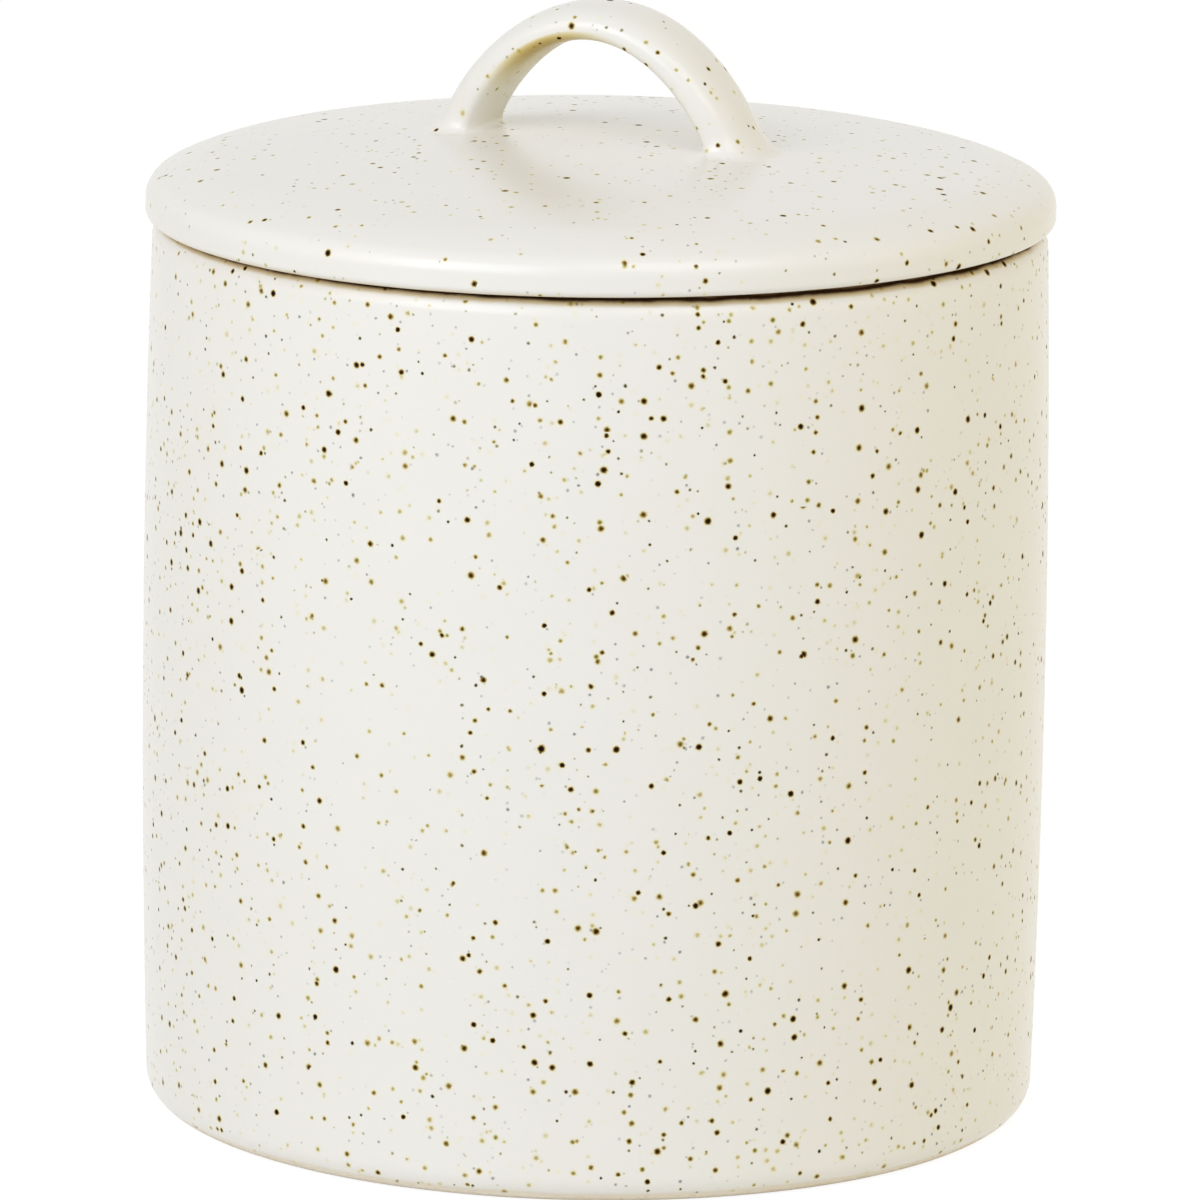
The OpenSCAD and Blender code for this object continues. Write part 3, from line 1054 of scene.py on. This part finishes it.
# Lengths of the stage in metres, apart from the width of the camera's frame in millimetres
LAMP_DISTANCE = 1.1
LAMP_WIDTH = 0.65
LAMP_AIM = Vector((0.0, 0.0, 0.08))
FRAME_WIDTH = 36.0
CLIP_NEAR, CLIP_FAR = 0.05, 50.0
WHITE = (1.0, 1.0, 1.0, 1.0)
FLOOR_COLOUR = (0.88, 0.88, 0.87, 1.0)
FLOOR_RADIUS = 6.0
FLOOR_SIDES = 96
FLOOR_GLOW = 1.14
FLOOR_WHITENESS = 0.8


def softbox(lamp, look):
    """A square soft light that faces the jar, with its power and colour from the stage's look."""
    light = bpy.data.lights.new(lamp.name, "AREA")
    light.shape, light.size = "SQUARE", LAMP_WIDTH
    light.energy, light.color = getattr(look, lamp.name), getattr(look, f"{lamp.name}_colour")
    stand = bpy.data.objects.new(lamp.name, light)
    back, right = seen_from(look.azimuth + math.radians(lamp.turn), math.radians(lamp.height))
    stand.matrix_world = Matrix.Translation(LAMP_AIM + back * LAMP_DISTANCE) @ aimed(back, right)
    stand.visible_glossy = lamp.reflected
    bpy.context.scene.collection.objects.link(stand)


def aimed_camera(look):
    """The camera, aimed at the jar and rolled a little."""
    back, right = seen_from(look.azimuth, look.elevation)
    lens = bpy.data.cameras.new("camera")
    lens.sensor_width, lens.lens = FRAME_WIDTH, look.lens
    lens.clip_start, lens.clip_end = CLIP_NEAR, CLIP_FAR
    camera = bpy.data.objects.new("camera", lens)
    target = right * look.aim_side + Vector((0.0, 0.0, look.aim_height))
    rolled = aimed(back, right) @ Matrix.Rotation(look.roll, 4, "Z")
    camera.matrix_world = Matrix.Translation(target + back * look.distance) @ rolled
    bpy.context.scene.collection.objects.link(camera)
    return camera


def seen_ray(wire):
    """One for rays that show a surface to the camera, straight or in a reflection."""
    path = wire.node("ShaderNodeLightPath").outputs
    shown = wire.math("MAXIMUM", path["Is Camera Ray"], path["Is Glossy Ray"])
    return wire.math("MAXIMUM", shown, path["Is Transmission Ray"])


def surroundings(look):
    """Even light from all round, which the camera and reflections see as white."""
    world = bpy.data.worlds.new("surroundings")
    wire = emptied(world)
    shown = seen_ray(wire)
    tint = wire.mix(shown, rgba(look.sky_colour), WHITE)
    strength = wire.ease(shown, 0.0, 1.0, look.sky, 1.0)
    light = wire.node("ShaderNodeBackground", {"Color": tint, "Strength": strength})
    wire.node("ShaderNodeOutputWorld", {"Surface": light.outputs[0]})
    return world


def white_floor():
    """A matt floor that the camera and reflections see as near white, with the jar's shadow on it."""
    mesh = bpy.data.meshes.new("floor")
    work = bmesh.new()
    bmesh.ops.create_circle(work, cap_ends=True, radius=FLOOR_RADIUS, segments=FLOOR_SIDES)
    work.to_mesh(mesh)
    work.free()
    material = bpy.data.materials.new("white_floor")
    wire = emptied(material)
    matt = wire.node("ShaderNodeBsdfDiffuse", {"Color": FLOOR_COLOUR}).outputs[0]
    white = wire.node("ShaderNodeEmission", {"Color": WHITE, "Strength": FLOOR_GLOW}).outputs[0]
    share = wire.math("MULTIPLY", seen_ray(wire), FLOOR_WHITENESS)
    shown = wire.node("ShaderNodeMixShader", {0: share, 1: matt, 2: white}).outputs[0]
    wire.node("ShaderNodeOutputMaterial", {"Surface": shown})
    mesh.materials.append(material)
    floor = bpy.data.objects.new("floor", mesh)
    bpy.context.scene.collection.objects.link(floor)
    return floor


class STONEWARE_OT_stage(bpy.types.Operator):
    """Set the camera, the soft lights, the white surroundings and the floor"""

    bl_idname = "stoneware.stage"
    bl_label = "Set Stage"

    def execute(self, context):
        scene = context.scene
        look = scene.stoneware_jar.stage
        scene.camera = aimed_camera(look)
        for lamp in LAMPS:
            softbox(lamp, look)
        scene.world = surroundings(look)
        scene.view_settings.view_transform = "Standard"
        floor = white_floor()
        return {"FINISHED"}


OPERATORS = (
    STONEWARE_OT_jar_body,
    STONEWARE_OT_lid,
    STONEWARE_OT_locating_ring,
    STONEWARE_OT_strap_handle,
    STONEWARE_OT_stage,
)


class STONEWARE_PT_jar(bpy.types.Panel):
    """Sizes, colours and pieces of the jar"""

    bl_idname = "STONEWARE_PT_jar"
    bl_label = "Stoneware Jar"
    bl_space_type = "VIEW_3D"
    bl_region_type = "UI"
    bl_category = "Jar"

    def draw(self, context):
        kit = context.scene.stoneware_jar
        for operator in OPERATORS:
            self.layout.operator(operator.bl_idname)
        for heading in StonewareJar.__annotations__:
            box = self.layout.box()
            box.label(text=heading.capitalize())
            group = getattr(kit, heading)
            for name in group.__annotations__:
                box.prop(group, name)


CLASSES = (
    JarSizes,
    LidSizes,
    RingSizes,
    StrapSizes,
    GlazeLook,
    ClayLook,
    StageLook,
    StonewareJar,
    *OPERATORS,
    STONEWARE_PT_jar,
)


def register():
    """Adds the jar's settings, operators and panel."""
    for cls in CLASSES:
        bpy.utils.register_class(cls)
    bpy.types.Scene.stoneware_jar = PointerProperty(type=StonewareJar)


def unregister():
    """Takes away the jar's settings, operators and panel."""
    del bpy.types.Scene.stoneware_jar
    for cls in reversed(CLASSES):
        bpy.utils.unregister_class(cls)


def main():
    """Builds the jar on its CAD frame."""
    register()
    bpy.ops.stoneware.jar_body()
    bpy.ops.stoneware.lid()
    bpy.ops.stoneware.locating_ring()
    bpy.ops.stoneware.strap_handle()
    bpy.ops.stoneware.stage()


if __name__ == "__main__":
    main()
